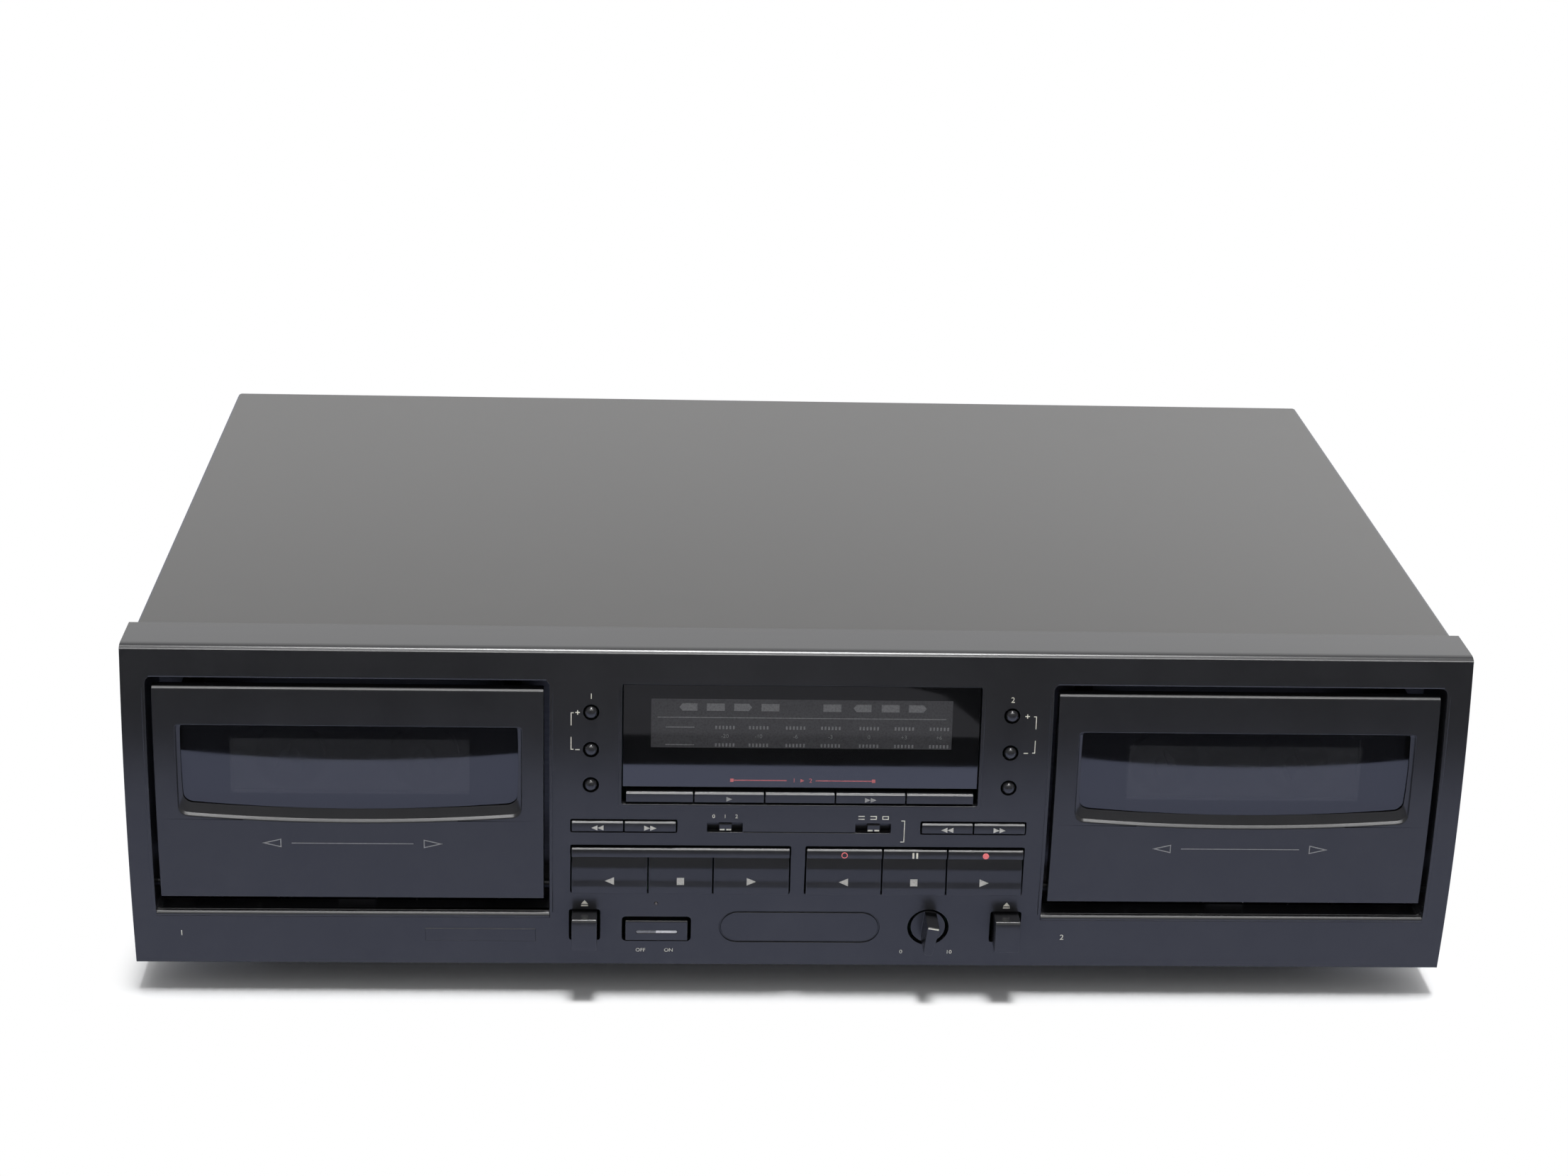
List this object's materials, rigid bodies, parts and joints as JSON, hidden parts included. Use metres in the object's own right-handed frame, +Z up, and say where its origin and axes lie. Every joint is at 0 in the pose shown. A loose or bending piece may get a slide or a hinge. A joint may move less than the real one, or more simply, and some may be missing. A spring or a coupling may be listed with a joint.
{
  "type": "double cassette deck",
  "caption": "Full-width hi-fi tape deck with two bottom-hinged cassette doors, a central display, push keys, slide switches and a level knob.",
  "frame": {"origin": "on the table under the middle of the overall box", "axes": "+X to the right seen from the front, +Y to the back, +Z up"},
  "size_m": [0.42, 0.2818, 0.119],
  "materials": {
    "panel_plastic": "satin black, fine texture",
    "key_plastic": "satin black",
    "holder_plastic": "matt black",
    "cover_paint": "fine textured charcoal paint",
    "rear_paint": "satin black paint",
    "zinc_steel": "zinc plated sheet",
    "bright_steel": "ground steel",
    "screw_black": "black oxide",
    "foot_rubber": "matt",
    "belt_rubber": "matt",
    "smoked_acrylic": "polished smoked acrylic",
    "display_glass": "glass tube",
    "board_green": "solder resist",
    "core_iron": "varnished laminations",
    "jack_plastic": "moulded",
    "flywheel_metal": "turned"
  },
  "bodies": {
    "case": {"front_panel": "panel_plastic", "top_cover": "cover_paint", "bottom_chassis": "zinc_steel", "rear_panel": "rear_paint", "feet": "foot_rubber", "cover_screws": "screw_black", "display_window": "smoked_acrylic", "display_module": "display_glass", "blank_keys": "key_plastic", "control_board": "board_green", "main_board": "board_green", "power_transformer": "core_iron", "line_jacks": "jack_plastic", "cord_gland": "foot_rubber", "mechanism_frames": "zinc_steel", "drive_motors": "bright_steel", "drive_belts": "belt_rubber", "head_blocks": "bright_steel", "door_hinge_pins": "screw_black"},
    "left_door_unit": {"left_door": "panel_plastic", "left_window": "smoked_acrylic", "left_holder": "holder_plastic"},
    "right_door_unit": {"right_door": "panel_plastic", "right_window": "smoked_acrylic", "right_holder": "holder_plastic"},
    "left_reverse_key_unit": {"left_reverse_key": "key_plastic"},
    "left_stop_key_unit": {"left_stop_key": "key_plastic"},
    "left_play_key_unit": {"left_play_key": "key_plastic"},
    "right_reverse_key_unit": {"right_reverse_key": "key_plastic"},
    "right_stop_key_unit": {"right_stop_key": "key_plastic"},
    "right_play_key_unit": {"right_play_key": "key_plastic"},
    "record_mute_key_unit": {"record_mute_key": "key_plastic"},
    "pause_key_unit": {"pause_key": "key_plastic"},
    "record_key_unit": {"record_key": "key_plastic"},
    "left_rewind_key_unit": {"left_rewind_key": "key_plastic"},
    "left_forward_key_unit": {"left_forward_key": "key_plastic"},
    "right_rewind_key_unit": {"right_rewind_key": "key_plastic"},
    "right_forward_key_unit": {"right_forward_key": "key_plastic"},
    "left_skip_up_button_unit": {"left_skip_up_button": "key_plastic"},
    "left_skip_down_button_unit": {"left_skip_down_button": "key_plastic"},
    "left_auto_button_unit": {"left_auto_button": "key_plastic"},
    "right_skip_up_button_unit": {"right_skip_up_button": "key_plastic"},
    "right_skip_down_button_unit": {"right_skip_down_button": "key_plastic"},
    "right_auto_button_unit": {"right_auto_button": "key_plastic"},
    "left_eject_button_unit": {"left_eject_button": "key_plastic"},
    "right_eject_button_unit": {"right_eject_button": "key_plastic"},
    "power_button_unit": {"power_button": "key_plastic"},
    "copy_slow_key_unit": {"copy_slow_key": "key_plastic"},
    "copy_fast_key_unit": {"copy_fast_key": "key_plastic"},
    "noise_slider_unit": {"noise_slider": "key_plastic"},
    "reverse_slider_unit": {"reverse_slider": "key_plastic"},
    "level_knob_unit": {"level_knob": "key_plastic"},
    "left_supply_spindle_unit": {"left_supply_spindle": "holder_plastic"},
    "left_takeup_spindle_unit": {"left_takeup_spindle": "holder_plastic"},
    "right_supply_spindle_unit": {"right_supply_spindle": "holder_plastic"},
    "right_takeup_spindle_unit": {"right_takeup_spindle": "holder_plastic"},
    "left_supply_flywheel_unit": {"left_supply_flywheel": "flywheel_metal"},
    "left_takeup_flywheel_unit": {"left_takeup_flywheel": "flywheel_metal"},
    "right_supply_flywheel_unit": {"right_supply_flywheel": "flywheel_metal"},
    "right_takeup_flywheel_unit": {"right_takeup_flywheel": "flywheel_metal"}
  },
  "joints": [
    {"name": "left_door_hinge", "type": "hinge", "parent": "case", "child": "left_door_unit", "pos_m": [-0.1405, -0.12412, 0.036], "axis": [1, 0, 0], "range_deg": [0, 25]},
    {"name": "right_door_hinge", "type": "hinge", "parent": "case", "child": "right_door_unit", "pos_m": [0.1405, -0.12412, 0.036], "axis": [1, 0, 0], "range_deg": [0, 25]},
    {"name": "left_reverse_key_press", "type": "slide", "parent": "case", "child": "left_reverse_key_unit", "axis": [0, 1, 0], "range_m": [0, 0.0015], "stiffness_N_per_m": 800},
    {"name": "left_stop_key_press", "type": "slide", "parent": "case", "child": "left_stop_key_unit", "axis": [0, 1, 0], "range_m": [0, 0.0015], "stiffness_N_per_m": 800},
    {"name": "left_play_key_press", "type": "slide", "parent": "case", "child": "left_play_key_unit", "axis": [0, 1, 0], "range_m": [0, 0.0015], "stiffness_N_per_m": 800},
    {"name": "right_reverse_key_press", "type": "slide", "parent": "case", "child": "right_reverse_key_unit", "axis": [0, 1, 0], "range_m": [0, 0.0015], "stiffness_N_per_m": 800},
    {"name": "right_stop_key_press", "type": "slide", "parent": "case", "child": "right_stop_key_unit", "axis": [0, 1, 0], "range_m": [0, 0.0015], "stiffness_N_per_m": 800},
    {"name": "right_play_key_press", "type": "slide", "parent": "case", "child": "right_play_key_unit", "axis": [0, 1, 0], "range_m": [0, 0.0015], "stiffness_N_per_m": 800},
    {"name": "record_mute_key_press", "type": "slide", "parent": "case", "child": "record_mute_key_unit", "axis": [0, 1, 0], "range_m": [0, 0.0015], "stiffness_N_per_m": 800},
    {"name": "pause_key_press", "type": "slide", "parent": "case", "child": "pause_key_unit", "axis": [0, 1, 0], "range_m": [0, 0.0015], "stiffness_N_per_m": 800},
    {"name": "record_key_press", "type": "slide", "parent": "case", "child": "record_key_unit", "axis": [0, 1, 0], "range_m": [0, 0.0015], "stiffness_N_per_m": 800},
    {"name": "left_rewind_key_press", "type": "slide", "parent": "case", "child": "left_rewind_key_unit", "axis": [0, 1, 0], "range_m": [0, 0.0015], "stiffness_N_per_m": 800},
    {"name": "left_forward_key_press", "type": "slide", "parent": "case", "child": "left_forward_key_unit", "axis": [0, 1, 0], "range_m": [0, 0.0015], "stiffness_N_per_m": 800},
    {"name": "right_rewind_key_press", "type": "slide", "parent": "case", "child": "right_rewind_key_unit", "axis": [0, 1, 0], "range_m": [0, 0.0015], "stiffness_N_per_m": 800},
    {"name": "right_forward_key_press", "type": "slide", "parent": "case", "child": "right_forward_key_unit", "axis": [0, 1, 0], "range_m": [0, 0.0015], "stiffness_N_per_m": 800},
    {"name": "left_skip_up_button_press", "type": "slide", "parent": "case", "child": "left_skip_up_button_unit", "axis": [0, 1, 0], "range_m": [0, 0.0015], "stiffness_N_per_m": 800},
    {"name": "left_skip_down_button_press", "type": "slide", "parent": "case", "child": "left_skip_down_button_unit", "axis": [0, 1, 0], "range_m": [0, 0.0015], "stiffness_N_per_m": 800},
    {"name": "left_auto_button_press", "type": "slide", "parent": "case", "child": "left_auto_button_unit", "axis": [0, 1, 0], "range_m": [0, 0.0015], "stiffness_N_per_m": 800},
    {"name": "right_skip_up_button_press", "type": "slide", "parent": "case", "child": "right_skip_up_button_unit", "axis": [0, 1, 0], "range_m": [0, 0.0015], "stiffness_N_per_m": 800},
    {"name": "right_skip_down_button_press", "type": "slide", "parent": "case", "child": "right_skip_down_button_unit", "axis": [0, 1, 0], "range_m": [0, 0.0015], "stiffness_N_per_m": 800},
    {"name": "right_auto_button_press", "type": "slide", "parent": "case", "child": "right_auto_button_unit", "axis": [0, 1, 0], "range_m": [0, 0.0015], "stiffness_N_per_m": 800},
    {"name": "left_eject_button_press", "type": "slide", "parent": "case", "child": "left_eject_button_unit", "axis": [0, 1, 0], "range_m": [0, 0.003], "stiffness_N_per_m": 600},
    {"name": "right_eject_button_press", "type": "slide", "parent": "case", "child": "right_eject_button_unit", "axis": [0, 1, 0], "range_m": [0, 0.003], "stiffness_N_per_m": 600},
    {"name": "power_button_press", "type": "slide", "parent": "case", "child": "power_button_unit", "axis": [0, 1, 0], "range_m": [0, 0.0025], "stiffness_N_per_m": 600},
    {"name": "copy_slow_key_press", "type": "slide", "parent": "case", "child": "copy_slow_key_unit", "axis": [0, 1, 0], "range_m": [0, 0.0015], "stiffness_N_per_m": 800},
    {"name": "copy_fast_key_press", "type": "slide", "parent": "case", "child": "copy_fast_key_unit", "axis": [0, 1, 0], "range_m": [0, 0.0015], "stiffness_N_per_m": 800},
    {"name": "noise_slider_slide", "type": "slide", "parent": "case", "child": "noise_slider_unit", "axis": [1, 0, 0], "range_m": [-0.0032, 0.0032]},
    {"name": "reverse_slider_slide", "type": "slide", "parent": "case", "child": "reverse_slider_unit", "axis": [1, 0, 0], "range_m": [-0.0032, 0.0032]},
    {"name": "level_knob_turn", "type": "hinge", "parent": "case", "child": "level_knob_unit", "pos_m": [0.0426, -0.12912, 0.0246], "axis": [0, 1, 0], "range_deg": [-159, 141]},
    {"name": "left_supply_spindle_spin", "type": "hinge", "parent": "case", "child": "left_supply_spindle_unit", "pos_m": [-0.16175, -0.10412, 0.0729], "axis": [0, 1, 0], "continuous": true},
    {"name": "left_takeup_spindle_spin", "type": "hinge", "parent": "case", "child": "left_takeup_spindle_unit", "pos_m": [-0.11925, -0.10412, 0.0729], "axis": [0, 1, 0], "continuous": true},
    {"name": "right_supply_spindle_spin", "type": "hinge", "parent": "case", "child": "right_supply_spindle_unit", "pos_m": [0.11925, -0.10412, 0.0729], "axis": [0, 1, 0], "continuous": true},
    {"name": "right_takeup_spindle_spin", "type": "hinge", "parent": "case", "child": "right_takeup_spindle_unit", "pos_m": [0.16175, -0.10412, 0.0729], "axis": [0, 1, 0], "continuous": true},
    {"name": "left_supply_flywheel_spin", "type": "hinge", "parent": "case", "child": "left_supply_flywheel_unit", "pos_m": [-0.1735, -0.10412, 0.0435], "axis": [0, 1, 0], "continuous": true},
    {"name": "left_takeup_flywheel_spin", "type": "hinge", "parent": "case", "child": "left_takeup_flywheel_unit", "pos_m": [-0.1075, -0.10412, 0.0435], "axis": [0, 1, 0], "continuous": true},
    {"name": "right_supply_flywheel_spin", "type": "hinge", "parent": "case", "child": "right_supply_flywheel_unit", "pos_m": [0.1075, -0.10412, 0.0435], "axis": [0, 1, 0], "continuous": true},
    {"name": "right_takeup_flywheel_spin", "type": "hinge", "parent": "case", "child": "right_takeup_flywheel_unit", "pos_m": [0.1735, -0.10412, 0.0435], "axis": [0, 1, 0], "continuous": true}
  ],
  "couplings": [
    {"joint": "left_takeup_flywheel_spin", "follows": "left_supply_flywheel_spin", "ratio": 1},
    {"joint": "right_takeup_flywheel_spin", "follows": "right_supply_flywheel_spin", "ratio": 1}
  ]
}
